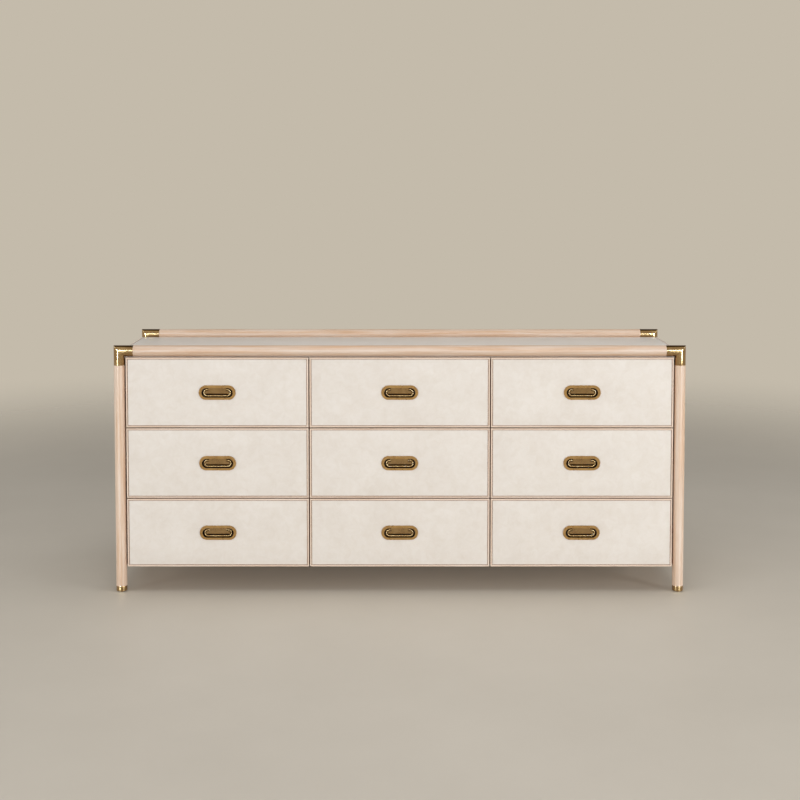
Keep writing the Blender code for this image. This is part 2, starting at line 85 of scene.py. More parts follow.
# Places and sizes read from the frame
DOWEL_R = extent("post_front_left").x / 2
SLEEVE_R = extent("elbow_front_left").y / 2
RAIL_Z = middle("top_rail_front").z
ARM_END_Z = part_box("elbow_front_left")[0].z
ARM_L = RAIL_Z - ARM_END_Z
FOOT_TOP_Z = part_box("foot_front_left")[1].z + FERRULE_RISE
FRONT_FACE_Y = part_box("drawer_top_left_box")[0].y
BOX_REAR_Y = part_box("drawer_top_left_box")[1].y
COVER_FACE_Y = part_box("drawer_top_left_cover")[0].y
COVER_BACK_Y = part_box("drawer_top_left_cover")[1].y
PLATE_FACE_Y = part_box("drawer_top_left_pull_plate")[0].y
PLATE_W = extent("drawer_top_left_pull_plate").x
PLATE_H = extent("drawer_top_left_pull_plate").z
PLATE_DEPTH = extent("drawer_top_left_pull_plate").y

# Brass elbows and feet
SEAM_LAP = 0.0008
ELBOW_OVERRUN = 2 * SLEEVE_R
ELBOW_ROUND = 0.0007
MITRE_ROUND = 0.0014
SLEEVE_WALL = 0.0016
FOOT_ROUND = 0.003
GLIDE_R = 0.01175
GLIDE_H = 0.0018
GLIDE_ROUND = 0.0006
RING_GROOVE = 0.0003
RING_DROP = 0.0012

# Fronts, edging and covering
FRONT_T = 0.020
BEAD_W = 0.0038
BEAD_ROUND = 0.0008
EDGE_ROUND = 0.0005
CORE_GAP = 0.0002
COVER_ROUND = 0.0009
COVER_CORNER = 0.0016
HOLE_ROUND = 0.0005

# Drawer boxes
BOX_INSET = 0.0125
BOX_DROP = 0.024
BOX_RISE = 0.027
BOX_WALL = 0.014
BOX_BOTTOM_T = 0.006
BOX_BOTTOM_LIFT = 0.008
RUNNER_H = 0.018
GROOVE_DEPTH = 0.0071
GROOVE_PLAY = 0.0004
PIN_NARROW = 0.0035
PIN_WIDE = 0.0060
PIN_PLACE_SHARES = (0.25, 0.75)
END_GRAIN_STEP = 0.0002

# Pulls
PLATE_T = 0.0024
PLATE_ROUND = 0.0013
LIP_ROUND = 0.0007
RIM_SIDE = 0.009
RIM_TOP = 0.0092
RIM_FOOT = 0.0073
CUP_WALL = 0.0016
CUP_CLEAR = 0.0019
FLOOR_ROUND = 0.0022
RECESS_W = PLATE_W - 2 * RIM_SIDE
RECESS_H = PLATE_H - RIM_TOP - RIM_FOOT
RECESS_Z = (RIM_FOOT - RIM_TOP) / 2
FLOOR_DEPTH = PLATE_DEPTH - CUP_WALL

# Lands, with a scoop below a rolled lip. A higher curve keeps the front of the scoop upright for longer.
LAND_W = 0.056
LAND_H = 0.0115
LAND_STEP = 0.0004
LAND_ROUND = 0.0006
SCOOP_RISE = 0.007
SCOOP_CURVE = 3.5
WING_GAP = 0.0012
LIP_Z = RECESS_Z + RECESS_H / 2 - LAND_H
SCOOP_Z = RECESS_Z - RECESS_H / 2 + SCOOP_RISE

# Bails
WIRE_R = 0.00225
BAIL_SIDE_GAP = 0.0055
BAIL_FOOT_GAP = 0.0035
BAIL_ARM_GAP = 0.0005
PIVOT_DROP = 0.005
PIVOT_DEPTH = 0.0032
PIN_R = 0.00125
PIN_L = 0.004
PIN_TAPER = 0.0003
SHOULDER_SHARE = 0.86
PIVOT_Z = PLATE_H / 2 - RIM_TOP - PIVOT_DROP
BAIL_RADIUS = (RECESS_H - PIVOT_DROP - BAIL_FOOT_GAP - WIRE_R) / 2
BAIL_CURVE_X = RECESS_W / 2 - BAIL_SIDE_GAP - WIRE_R - BAIL_RADIUS

# Surfaces: heights of their relief, radii of their worn edges, and depths in a cup where patina and
# painted shade lie
WOOD_RELIEF = 0.00012
COVER_RELIEF = 0.0004
SKIN_RELIEF = 0.00008
BRUSHED_RELIEF = 0.00002
FLOOR_RELIEF = 0.0004
SOFT_WEAR = 0.0012
BRASS_WEAR = 0.0009
PATINA_SHADE_START = 0.0008
CHANNEL_PATINA_SHADE = 0.0036
LAND_PATINA_SHADE = 0.0140

# How near another surface has to be for wood in a gap to take painted shade, brown and matt, and the
# shares of its surroundings that are open where the painted shade starts and where it is full
OAK_SHADE_REACH = 0.02
POST_SHADE_REACH = 0.008
BOARD_SHADE_REACH = 0.007
RAIL_SHADE_REACH = 0.003
TOP_SHADE_REACH = 0.0015
GAP_START_SHARE = 0.55
GAP_FULL_SHARE = 0.15

# Wear starts and is full where the cosine between the rounded and the real normal falls to these
WEAR_START = 0.995
WEAR_FULL = 0.93

# How strongly the layers of each surface show
STREAK_SHARE = 0.55
PORE_SHARE = 0.45
WOOD_WEAR_SHARE = 0.3
SHADE_SHARE = 0.6
PATCH_SHARE = 0.8
FLECK_SHARE = 0.12
COVER_WEAR_SHARE = 0.25
BRASS_WEAR_SHARE = 0.5
SPECK_SHARE = 0.2
PATINA_SHADE_SHARE = 0.97

# Gloss: roughness, how much a gap's painted shade or a cup's patina and painted shade adds to it, specular
# levels, and the spread along round forms, which is turned by a quarter to lie along them
OAK_ROUGH = 0.40
BOARD_ROUGH = 0.50
SLEEVE_ROUGH = 0.25
PULL_ROUGH = 0.28
BAIL_ROUGH = 0.20
BRASS_ROUGH_PLAY = 0.02
GAP_ROUGH = 0.5
PATINA_SHADE_ROUGH = 0.3
FLAT_SPECULAR = 0.5
TURNED_SPECULAR = 0.75
FLOOR_SPECULAR = 0.35
WOOD_SPREAD = 0.95
BRASS_SPREAD = 0.80
QUARTER_TURN_SHARE = 0.25

# How far patterns are drawn out along a grain, as the share of their scale that is left
FIGURE_SHARE = 0.030
LINES_SHARE = 0.014
BRUSHED_SHARE = 0.06

# Camera, as fitted to the photograph
CAMERA_PLACE = (0.0009, -4.503, 1.319)
CAMERA_TILT = 3.17
CAMERA_LENS = 60.36
CAMERA_SHIFT = -0.18

# Floor, and how far out it starts to fade and is gone
FLOOR_REACH = 14.0
FLOOR_FULL = 1.9
FLOOR_GONE = 5.2
FLOOR_DROP = 0.0002

# World: where its dark patch lies, and between which nearnesses to that direction it grows dark
DARK_SIDE = (0, 0.5, 0.866)
DARK_START = 0.70
DARK_FULL = 0.92
AMBIENT_TINT = (0.98, 0.99, 1.0, 1)
AMBIENT_STRENGTH = 0.365

# Lamps as place, target, and width and height. Those that stand in pairs are given for the right end.
SOFT_BOX = ((3.45, -2.65, 0.95), (0, -0.2, 0.4), (0.9, 1.7))
SIDE_BOX = ((4.0, -0.9, 0.9), (0.9, -0.2, 0.4), (1.2, 1.6))
UPRIGHT_STRIP = ((2.23, -2.84, 0.90), (0.5, -0.23, 0.4), (0.30, 1.8))
CORNER_BOX = ((3.4, -0.9, 2.9), (0.9, -0.23, 0.78), (2.0, 2.0))
FRONT_STRIP = ((0, -4.7, 1.40), (0, -0.2, 0.65), (4.4, 0.4))
LEVEL_STRIP = ((0.3, -4.7, 1.75), (0.3, -0.2, 0.75), (4.6, 0.25))
OVERHEAD = ((0.2, -0.5, 3.4), (0, 0, 0.4), (3.2, 2.0))

# Watts of the lamps. The glints give the kind of piece, the watts and, where upright, the spread in
# degrees. An upright glint lights only the sleeves at its own end.
SOFT_POWERS = {"left": 27, "right": 46}
SIDE_POWER = 14
FRONT_POWER = 80
OVERHEAD_POWER = 36
CORNER_POWER = 50
UPRIGHT_GLINTS = (("sleeve", 16, 60), ("dowel", 26, 120), ("ferrule", 400, 180), ("wire", 30, 180))
LEVEL_GLINTS = (("sleeve", 90), ("dowel", 8), ("wire", 60))
BRASS_GLINT_TINT = (0.55, 0.72, 1.0)
WOOD_GLINT_TINT = (1, 1, 1)

# Counts of steps and segments
ROUND_STEPS = 96
ARC_STEPS = 5
STADIUM_STEPS = 28
BAIL_STEPS = 40
WING_STEPS = 16
SCOOP_STEPS = 15
WIRE_STEPS = 8
SLAB_SEGMENTS = 2
MITRE_SEGMENTS = 4
LAND_SEGMENTS = 3
BEVEL_SAMPLES = 4
CREVICE_SAMPLES = 6

# Angles and nearnesses that tell edges and points apart
SHARP_ANGLE = math.radians(38)
RIDGE_ANGLE = math.radians(12)
SAME_POINT = 1e-7
SAME_SEAM = 1e-6
ON_SEAM = 1e-5


# Materials


def srgb(red, green, blue):
    """Linear colour of an sRGB colour given in 0 to 255."""
    shares = [value / 255 for value in (red, green, blue)]
    return [s / 12.92 if s <= 0.04045 else ((s + 0.055) / 1.055) ** 2.4 for s in shares] + [1]


WHITE = srgb(255, 255, 255)
# Painted shade that the wood takes in narrow gaps between parts
GAP_PAINTED_SHADE = srgb(120, 60, 30)
LIME = srgb(240, 229, 218)


class Finish:
    """A material, with short ways to add nodes to it."""

    def __init__(self, name):
        self.material = bpy.data.materials.new(name)
        self.material.use_nodes = True
        self.tree = self.material.node_tree
        self.shader = self.tree.nodes["Principled BSDF"]
        self.place = self.tree.nodes.new("ShaderNodeTexCoord").outputs["Object"]

    def feed(self, socket, value):
        """Links a socket to a socket, or sets it to a plain value."""
        if isinstance(value, bpy.types.NodeSocket):
            self.tree.links.new(value, socket)
        else:
            socket.default_value = value

    def node(self, kind, inputs, **settings):
        """A new node with its settings made and its inputs fed by name."""
        node = self.tree.nodes.new(kind)
        for name, value in settings.items():
            setattr(node, name, value)
        for name, value in inputs.items():
            self.feed(node.inputs[name], value)
        return node

    def drawn_out(self, axis, share):
        """The place for a pattern that is drawn out along one axis, X, Y or Z as 0, 1 or 2."""
        scale = [1.0, 1.0, 1.0]
        scale[axis] = share
        return self.node("ShaderNodeMapping", {"Vector": self.place, "Scale": scale}).outputs[0]

    def noise(self, place, scale, detail=3.0, rough=0.5, distortion=0.0):
        inputs = {"Vector": place, "Scale": scale, "Detail": detail, "Roughness": rough}
        inputs["Distortion"] = distortion
        return self.node("ShaderNodeTexNoise", inputs).outputs[0]

    def ramp(self, value, stops):
        """Colour or grey by value. The stops are pairs of a place and a colour."""
        node = self.node("ShaderNodeValToRGB", {"Fac": value})
        elements = node.color_ramp.elements
        while len(elements) < len(stops):
            elements.new(0.5)
        for element, (spot, colour) in zip(elements, stops):
            element.position = spot
            element.color = colour
        return node.outputs[0]

    def span(self, value, low, high, to_low=0.0, to_high=1.0):
        """Value carried from one range to another, held at its ends."""
        inputs = {"Value": value, "From Min": low, "From Max": high, "To Min": to_low, "To Max": to_high}
        return self.node("ShaderNodeMapRange", inputs).outputs[0]

    def maths(self, operation, first, second=0.0):
        node = self.tree.nodes.new("ShaderNodeMath")
        node.operation = operation
        self.feed(node.inputs[0], first)
        self.feed(node.inputs[1], second)
        return node.outputs[0]

    def part_of(self, value, share):
        return self.maths("MULTIPLY", value, share)

    def mix(self, share, first, second, blend="MIX"):
        """The first colour with a share of the second mixed in. The node's sockets 6 and 7 are colours."""
        node = self.tree.nodes.new("ShaderNodeMix")
        node.data_type = "RGBA"
        node.blend_type = blend
        self.feed(node.inputs[0], share)
        self.feed(node.inputs[6], first)
        self.feed(node.inputs[7], second)
        return node.outputs[2]

    def bump(self, height, distance, strength=1.0, normal=None):
        inputs = {"Height": height, "Distance": distance, "Strength": strength}
        if normal is not None:
            inputs["Normal"] = normal
        return self.node("ShaderNodeBump", inputs).outputs[0]

    def lacquer(self, weight, roughness):
        self.shader.inputs["Coat Weight"].default_value = weight
        self.shader.inputs["Coat Roughness"].default_value = roughness

    def turned(self, axis, amount):
        """Spreads the gloss of a round form along its axis, X, Y or Z as 0, 1 or 2."""
        tangent = self.node("ShaderNodeTangent", {}, direction_type="RADIAL", axis="XYZ"[axis])
        self.feed(self.shader.inputs["Tangent"], tangent.outputs[0])
        self.shader.inputs["Anisotropic"].default_value = amount
        self.shader.inputs["Anisotropic Rotation"].default_value = QUARTER_TURN_SHARE

    def finish(self, colour, roughness, normal, metallic=0.0):
        """Feeds the shader and gives back the finished material."""
        self.feed(self.shader.inputs["Base Color"], colour)
        self.feed(self.shader.inputs["Roughness"], roughness)
        self.feed(self.shader.inputs["Normal"], normal)
        self.feed(self.shader.inputs["Metallic"], metallic)
        return self.material


def wear(finish, radius):
    """How far a spot lies on an outer edge, from 0 to 1."""
    soft = finish.node("ShaderNodeBevel", {"Radius": radius}, samples=BEVEL_SAMPLES).outputs[0]
    flat = finish.tree.nodes.new("ShaderNodeNewGeometry").outputs["Normal"]
    dot = finish.tree.nodes.new("ShaderNodeVectorMath")
    dot.operation = "DOT_PRODUCT"
    finish.feed(dot.inputs[0], soft)
    finish.feed(dot.inputs[1], flat)
    return finish.span(dot.outputs["Value"], WEAR_START, WEAR_FULL)


def painted_gap_shade(finish, reach):
    """How far a spot lies in a narrow gap between parts, from 0 to 1: the mask for painted shade there."""
    near = finish.node("ShaderNodeAmbientOcclusion", {"Distance": reach}, samples=CREVICE_SAMPLES)
    return finish.span(near.outputs["AO"], GAP_START_SHARE, GAP_FULL_SHARE)


def patina(finish, full):
    """How deep a spot lies in the cup of a pull, from 0 at its rim to nearly 1: the mask for its patina
    and painted shade.
    """
    parts = finish.tree.nodes.new("ShaderNodeSeparateXYZ")
    finish.feed(parts.inputs[0], finish.place)
    start_y = PLATE_FACE_Y + PATINA_SHADE_START
    return finish.span(parts.outputs["Y"], start_y, PLATE_FACE_Y + full, 0.0, PATINA_SHADE_SHARE)


def wood(name, axis, tones, pore, shade_reach, roughness=OAK_ROUGH, coat=0.6, turned=False):
    """Straight-grained wood with its grain along one axis, X, Y or Z as 0, 1 or 2.

    The tones go from deep to pale. In gaps narrower than about the shade reach the wood is matt and
    painted brown as shade.
    Turned wood is round, with its gloss drawn out along it in place of a coat of lacquer.
    """
    finish = Finish(name)
    deep, mid, pale = tones
    figure_place = finish.drawn_out(axis, FIGURE_SHARE)
    lines_place = finish.drawn_out(axis, LINES_SHARE)
    figure = finish.noise(figure_place, scale=120.0, detail=4.0, rough=0.55, distortion=0.35)
    lines = finish.noise(lines_place, scale=520.0, detail=3.0, rough=0.6)
    pores = finish.noise(lines_place, scale=1500.0, detail=1.0, rough=0.5)
    cloud = finish.noise(finish.place, scale=2.2, detail=2.0)
    colour = finish.ramp(figure, ((0.32, deep), (0.5, mid), (0.68, pale)))
    streak = finish.ramp(lines, ((0.35, srgb(232, 224, 216)), (0.62, WHITE)))
    colour = finish.mix(STREAK_SHARE, colour, streak, "MULTIPLY")
    open_pores = finish.span(pores, 0.60, 0.70)
    colour = finish.mix(finish.part_of(open_pores, PORE_SHARE), colour, pore)
    colour = finish.mix(finish.part_of(wear(finish, SOFT_WEAR), WOOD_WEAR_SHARE), colour, pale)
    shade = finish.ramp(cloud, ((0.3, srgb(247, 244, 240)), (0.7, WHITE)))
    colour = finish.mix(SHADE_SHARE, colour, shade, "MULTIPLY")
    # Painted shade: narrow gaps between parts are painted brown, made rougher and lose their specular
    # gloss
    gap = painted_gap_shade(finish, shade_reach)
    colour = finish.mix(gap, colour, GAP_PAINTED_SHADE)
    rough = finish.span(lines, 0.3, 0.7, roughness - 0.06, roughness + 0.08)
    rough = finish.maths("ADD", rough, finish.part_of(gap, GAP_ROUGH))
    relief = finish.maths("SUBTRACT", finish.part_of(lines, 0.6), open_pores)
    gloss = TURNED_SPECULAR if turned else FLAT_SPECULAR
    finish.feed(finish.shader.inputs["Specular IOR Level"], finish.span(gap, 0.0, 1.0, gloss, 0.0))
    if turned:
        finish.turned(axis, WOOD_SPREAD)
    else:
        finish.lacquer(coat, roughness=0.30)
    return finish.finish(colour, rough, finish.bump(relief, WOOD_RELIEF, 0.6))


def limed_oak(axis):
    tones = (srgb(212, 181, 154), srgb(221, 197, 175), srgb(229, 211, 195))
    return wood(f"limed_oak_{'xyz'[axis]}", axis, tones, LIME, OAK_SHADE_REACH)


# The posts take a lighter copy of the oak: painted light.
def post_oak():
    tones = (srgb(219, 186, 157), srgb(226, 201, 179), srgb(232, 215, 200))
    return wood("post_oak", 2, tones, LIME, POST_SHADE_REACH, turned=True)


# The rails take a darker, more saturated copy of the oak: partly the grain's own colour, partly painted
# shade.
def rail_oak():
    tones = (srgb(209, 173, 142), srgb(215, 189, 167), srgb(220, 202, 187))
    return wood("rail_oak", 0, tones, srgb(234, 221, 208), RAIL_SHADE_REACH, turned=True)


def pale_oak(axis):
    tones = (srgb(230, 207, 186), srgb(240, 220, 202), srgb(247, 232, 217))
    pore = srgb(249, 239, 229)
    name = f"pale_oak_{'xyz'[axis]}"
    return wood(name, axis, tones, pore, BOARD_SHADE_REACH, roughness=BOARD_ROUGH, coat=0.0)


# A paler copy of the oak for the top panel: painted light that lifts its edging out of shade.
def top_oak():
    tones = (srgb(238, 221, 206), srgb(246, 233, 221), srgb(251, 242, 233))
    return wood("top_oak", 0, tones, srgb(252, 244, 236), TOP_SHADE_REACH)


def drawer_wood(axis):
    tones = (srgb(202, 172, 136), srgb(217, 190, 157), srgb(227, 204, 175))
    pore = srgb(170, 138, 104)
    name = f"drawer_wood_{'xyz'[axis]}"
    return wood(name, axis, tones, pore, BOARD_SHADE_REACH, roughness=BOARD_ROUGH)


def covering():
    """Cream parchment: soft clouds, faint mottling and a fine skin grain."""
    finish = Finish("cream_covering")
    cloud = finish.noise(finish.place, scale=9.0, detail=4.0, rough=0.55, distortion=0.4)
    mottle = finish.noise(finish.place, scale=42.0, detail=6.0, rough=0.66, distortion=0.6)
    fleck = finish.noise(finish.place, scale=210.0, detail=4.0, rough=0.6)
    grain = finish.noise(finish.place, scale=1300.0, detail=3.0, rough=0.55)
    colour = finish.ramp(cloud, ((0.3, srgb(226, 219, 211)), (0.7, srgb(231, 225, 218))))
    patches = finish.ramp(mottle, ((0.34, srgb(248, 246, 243)), (0.62, WHITE)))
    colour = finish.mix(PATCH_SHARE, colour, patches, "MULTIPLY")
    flecks = finish.span(fleck, 0.60, 0.74, 0.0, FLECK_SHARE)
    colour = finish.mix(flecks, colour, srgb(214, 202, 188))
    worn = finish.part_of(wear(finish, SOFT_WEAR), COVER_WEAR_SHARE)
    colour = finish.mix(worn, colour, srgb(208, 184, 160))
    rough = finish.span(mottle, 0.3, 0.7, 0.44, 0.56)
    soft = finish.bump(mottle, COVER_RELIEF, 0.25)
    finish.lacquer(weight=0.3, roughness=0.32)
    return finish.finish(colour, rough, finish.bump(grain, SKIN_RELIEF, 0.35, soft))


def antique_brass(name, roughness, tones, shaded=None, axis=None):
    """Lacquered brass with a mottled patina, rubbed along its edges.

    Where shaded is given, it darkens down to that depth in a cup, as patina and painted shade. Along an
    axis, X, Y or Z as 0, 1 or 2, it is round.
    """
    finish = Finish(name)
    cloud = finish.noise(finish.place, scale=40.0, detail=3.0, rough=0.5, distortion=0.3)
    speck = finish.noise(finish.place, scale=700.0, detail=4.0, rough=0.6)
    brushed = finish.noise(finish.drawn_out(0, BRUSHED_SHARE), scale=2600.0, detail=2.0)
    colour = finish.ramp(cloud, tuple(zip((0.3, 0.55, 0.75), tones)))
    worn = finish.part_of(wear(finish, BRASS_WEAR), BRASS_WEAR_SHARE)
    colour = finish.mix(worn, colour, srgb(226, 202, 156))
    specks = finish.span(speck, 0.62, 0.72, 0.0, SPECK_SHARE)
    colour = finish.mix(specks, colour, srgb(112, 84, 50))
    rough = finish.span(cloud, 0.3, 0.7, roughness - BRASS_ROUGH_PLAY, roughness + BRASS_ROUGH_PLAY)
    if shaded is not None:
        # Patina and painted shade: darker and rougher the deeper it lies in the cup
        depth = patina(finish, shaded)
        colour = finish.mix(depth, colour, srgb(46, 27, 12))
        rough = finish.maths("ADD", rough, finish.part_of(depth, PATINA_SHADE_ROUGH))
    finish.lacquer(weight=1.0, roughness=0.06)
    if axis is not None:
        finish.turned(axis, BRASS_SPREAD)
    return finish.finish(colour, rough, finish.bump(brushed, BRUSHED_RELIEF, 0.10), 1.0)


def sleeve_brass(axis):
    return antique_brass(f"sleeve_brass_{'xyz'[axis]}", SLEEVE_ROUGH, AGED, axis=axis)


OAK = [limed_oak(axis) for axis in range(3)]
PALE_OAK = {axis: pale_oak(axis) for axis in (0, 2)}
TOP_OAK = top_oak()
POST_OAK = post_oak()
RAIL_OAK = rail_oak()
BOX_WOOD = [drawer_wood(axis) for axis in range(3)]
CREAM = covering()
AGED = (srgb(160, 125, 76), srgb(175, 140, 88), srgb(186, 152, 100))
# The plate's brass is a lighter copy of the land's: painted light on the rim. The bail's is lighter still:
# partly polish from handling, partly painted light.
LIT_PLATE_TONES = (srgb(196, 154, 92), srgb(212, 169, 104), srgb(223, 183, 118))
HANDLED_LIT_TONES = (srgb(196, 160, 102), srgb(214, 178, 118), srgb(226, 194, 134))
SLEEVE_BRASS = {axis: sleeve_brass(axis) for axis in (0, 2)}
PLATE_BRASS = antique_brass("plate_brass", PULL_ROUGH, LIT_PLATE_TONES, CHANNEL_PATINA_SHADE)
LAND_BRASS = antique_brass("land_brass", PULL_ROUGH, AGED, LAND_PATINA_SHADE)
BAIL_BRASS = antique_brass("bail_brass", BAIL_ROUGH, HANDLED_LIT_TONES)


# Shapes


def piece(name, mesh, materials, body, slot, *nodes):
    """Puts a mesh in the scene as a piece of the dresser that rides on a body."""
    obj = bpy.data.objects.new(name, mesh)
    bpy.context.scene.collection.objects.link(obj)
    for material in materials:
        mesh.materials.append(material)
    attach(obj, body)
    if nodes:
        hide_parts(*nodes)


def finished(shape, place=(0, 0, 0)):
    """Mesh of a bmesh moved to its place, smooth but for its sharp edges."""
    bmesh.ops.remove_doubles(shape, verts=shape.verts, dist=SAME_POINT)
    bmesh.ops.recalc_face_normals(shape, faces=shape.faces)
    bmesh.ops.translate(shape, vec=place, verts=shape.verts)
    mesh = bpy.data.meshes.new("shape")
    shape.to_mesh(mesh)
    shape.free()
    mesh.shade_smooth()
    mesh.set_sharp_from_angle(angle=SHARP_ANGLE)
    return mesh


def everything(shape):
    """All points, edges and faces of a bmesh."""
    return shape.verts[:] + shape.edges[:] + shape.faces[:]


def arc(radius):
    """Pairs of how far in and how far back a rounded edge goes, from its side to its face."""
    pairs = []
    for step in range(ARC_STEPS + 1):
        angle = math.pi / 2 * step / ARC_STEPS
        pairs.append((radius * (1 - math.cos(angle)), radius * (1 - math.sin(angle))))
    return pairs


def lathe(profile):
    """A profile of (radius, height) points turned about Z, as a bmesh."""
    shape = bmesh.new()
    verts = [shape.verts.new((radius, 0, height)) for radius, height in profile]
    edges = [shape.edges.new(pair) for pair in zip(verts, verts[1:])]
    bmesh.ops.spin(
        shape,
        geom=verts + edges,
        cent=(0, 0, 0),
        axis=(0, 0, 1),
        angle=2 * math.pi,
        steps=ROUND_STEPS,
        use_merge=True,
    )
    return shape


def slab(low, high, radius):
    """A box with rounded edges, as a bmesh."""
    shape = bmesh.new()
    bmesh.ops.create_cube(shape, size=1)
    bmesh.ops.scale(shape, vec=Vector(high) - Vector(low), verts=shape.verts)
    bmesh.ops.translate(shape, vec=(Vector(high) + Vector(low)) / 2, verts=shape.verts)
    rounding(shape, shape.edges[:], radius, SLAB_SEGMENTS)
    return shape


def rounding(shape, edges, radius, segments):
    bmesh.ops.bevel(shape, geom=edges, offset=radius, segments=segments, profile=0.5, affect="EDGES")


def extruded(outline, length):
    """A flat outline in XY drawn out along +Z, as a bmesh."""
    shape = bmesh.new()
    face = shape.faces.new([shape.verts.new((x, y, 0)) for x, y in outline])
    made = bmesh.ops.extrude_face_region(shape, geom=[face])
    far = [item for item in made["geom"] if isinstance(item, bmesh.types.BMVert)]
    bmesh.ops.translate(shape, vec=(0, 0, length), verts=far)
    return shape


def rectangle(width, height, corner):
    """Outline of a rectangle with rounded corners, counter-clockwise."""
    points = []
    for turn, (x_side, y_side) in enumerate(((1, 1), (-1, 1), (-1, -1), (1, -1))):
        for step in range(ARC_STEPS + 1):
            angle = math.pi / 2 * (turn + step / ARC_STEPS)
            x = x_side * (width / 2 - corner) + corner * math.cos(angle)
            y = y_side * (height / 2 - corner) + corner * math.sin(angle)
            points.append((x, y))
    return points


def stadium(width, height):
    """Outline with straight long sides and half-round ends, counter-clockwise."""
    radius = height / 2
    reach = width / 2 - radius
    points = []
    for side in (1, -1):
        for step in range(STADIUM_STEPS + 1):
            angle = math.pi * step / STADIUM_STEPS - math.pi / 2
            points.append((side * (reach + radius * math.cos(angle)), side * radius * math.sin(angle)))
    return points


def ring(shape, outline, depth, rise=0):
    """A loop of points that faces the front, at one depth."""
    return [shape.verts.new((x, depth, z + rise)) for x, z in outline]


def bridge(shape, rings):
    """Joins each loop to the next with a band of faces."""
    for near, far in zip(rings, rings[1:]):
        for here in range(len(near)):
            there = (here + 1) % len(near)
            shape.faces.new((near[here], near[there], far[there], far[here]))


def fill(shape, *loops):
    """Fills the flat space inside the first loop and outside the others."""
    edges = []
    for loop in loops:
        for here, vert in enumerate(loop):
            edge = shape.edges.get((vert, loop[here - 1]))
            edges.append(edge or shape.edges.new((vert, loop[here - 1])))
    bmesh.ops.triangle_fill(shape, use_beauty=True, use_dissolve=False, edges=edges)


def pierced_panel(width, height, thickness, corner, radius, hole):
    """A panel facing the front, its front edges rounded. Its face is at zero.

    The hole is a stadium, given by its width, height and rise above the panel's middle.
    """
    shape = bmesh.new()
    outer = [ring(shape, rectangle(width, height, corner), thickness)]
    for inward, back in arc(radius):
        sides = (width - 2 * inward, height - 2 * inward)
        outer.append(ring(shape, rectangle(*sides, corner - inward / 2), back))
    hole_w, hole_h, rise = hole
    inner = [ring(shape, stadium(hole_w, hole_h), thickness, rise)]
    for inward, back in arc(HOLE_ROUND):
        outline = stadium(hole_w + 2 * inward, hole_h + 2 * inward)
        inner.append(ring(shape, outline, back, rise))
    bridge(shape, outer)
    bridge(shape, inner)
    fill(shape, outer[-1], inner[-1])
    fill(shape, outer[0], inner[0])
    return shape


# Dowel frames


def dowel(low, high):
    """A round bar between two heights."""
    return lathe([(0, low), (DOWEL_R, low), (DOWEL_R, high), (0, high)])


def posts_and_rails():
    for face in FACES:
        node = f"top_rail_{face}"
        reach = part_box(f"elbow_{face}_right")[0].x + SEAM_LAP
        shape = dowel(-reach, reach)
        bmesh.ops.rotate(shape, matrix=Matrix.Rotation(math.pi / 2, 3, "Y"), verts=shape.verts)
        piece(f"{node}_dowel", finished(shape, middle(node)), [RAIL_OAK], "case", "limed_oak", node)
        for end, _ in ENDS:
            node = f"post_{face}_{end}"
            spot = middle(node)
            shape = dowel(FOOT_TOP_Z - SEAM_LAP, ARM_END_Z + SEAM_LAP)
            mesh = finished(shape, (spot.x, spot.y, 0))
            piece(f"{node}_dowel", mesh, [POST_OAK], "case", "limed_oak", node)


def elbow_shape(out):
    """Two sleeves that meet in a mitre: one down the post, and one along the rail.

    One sleeve is cut by the plane of the mitre and mirrored there. The one along the rail takes the
    second material.
    """
    bore = DOWEL_R - SLEEVE_WALL
    profile = [(SLEEVE_R, ELBOW_OVERRUN)]
    profile += [(SLEEVE_R - inward, back - ARM_L) for inward, back in arc(ELBOW_ROUND)]
    profile += [(bore, -ARM_L), (bore, SEAM_LAP - ARM_L)]
    shape = lathe(profile)
    bmesh.ops.rotate(shape, matrix=Matrix.Rotation(-math.pi / 4, 3, "Y"), verts=shape.verts)
    cut = {"plane_co": (0, 0, 0), "plane_no": (1, 0, 0), "clear_inner": True}
    bmesh.ops.bisect_plane(shape, geom=everything(shape), **cut)
    flip = {"matrix": Matrix.Identity(4), "merge_dist": SAME_SEAM, "axis": "X"}
    bmesh.ops.mirror(shape, geom=everything(shape), **flip)
    bmesh.ops.recalc_face_normals(shape, faces=shape.faces)
    seam = [edge for edge in shape.edges if all(abs(vert.co.x) < ON_SEAM for vert in edge.verts)]
    ridge = [edge for edge in seam if edge.is_convex and edge.calc_face_angle(0) > RIDGE_ANGLE]
    rounding(shape, ridge, MITRE_ROUND, MITRE_SEGMENTS)
    bmesh.ops.rotate(shape, matrix=Matrix.Rotation(out * math.pi / 4, 3, "Y"), verts=shape.verts)
    for face in shape.faces:
        spot = face.calc_center_median()
        face.material_index = int(spot.z > out * spot.x)
    return shape


def foot_shape():
    """A ferrule drawn in to a narrower glide, with a fine turned groove below its lip."""
    ring_z = FOOT_TOP_Z - RING_DROP
    profile = [(DOWEL_R - SLEEVE_WALL, FOOT_TOP_Z), (SLEEVE_R - ELBOW_ROUND, FOOT_TOP_Z)]
    profile += [(SLEEVE_R - inward, FOOT_TOP_Z - back) for inward, back in reversed(arc(ELBOW_ROUND))]
    profile += [(SLEEVE_R, ring_z + RING_GROOVE), (SLEEVE_R - RING_GROOVE, ring_z)]
    profile += [(SLEEVE_R, ring_z - RING_GROOVE)]
    profile += [(SLEEVE_R - inward, GLIDE_H + back) for inward, back in arc(FOOT_ROUND)]
    profile += [(GLIDE_R, GLIDE_H)]
    profile += [(GLIDE_R - inward, back) for inward, back in arc(GLIDE_ROUND)]
    profile += [(0, 0)]
    return lathe(profile)


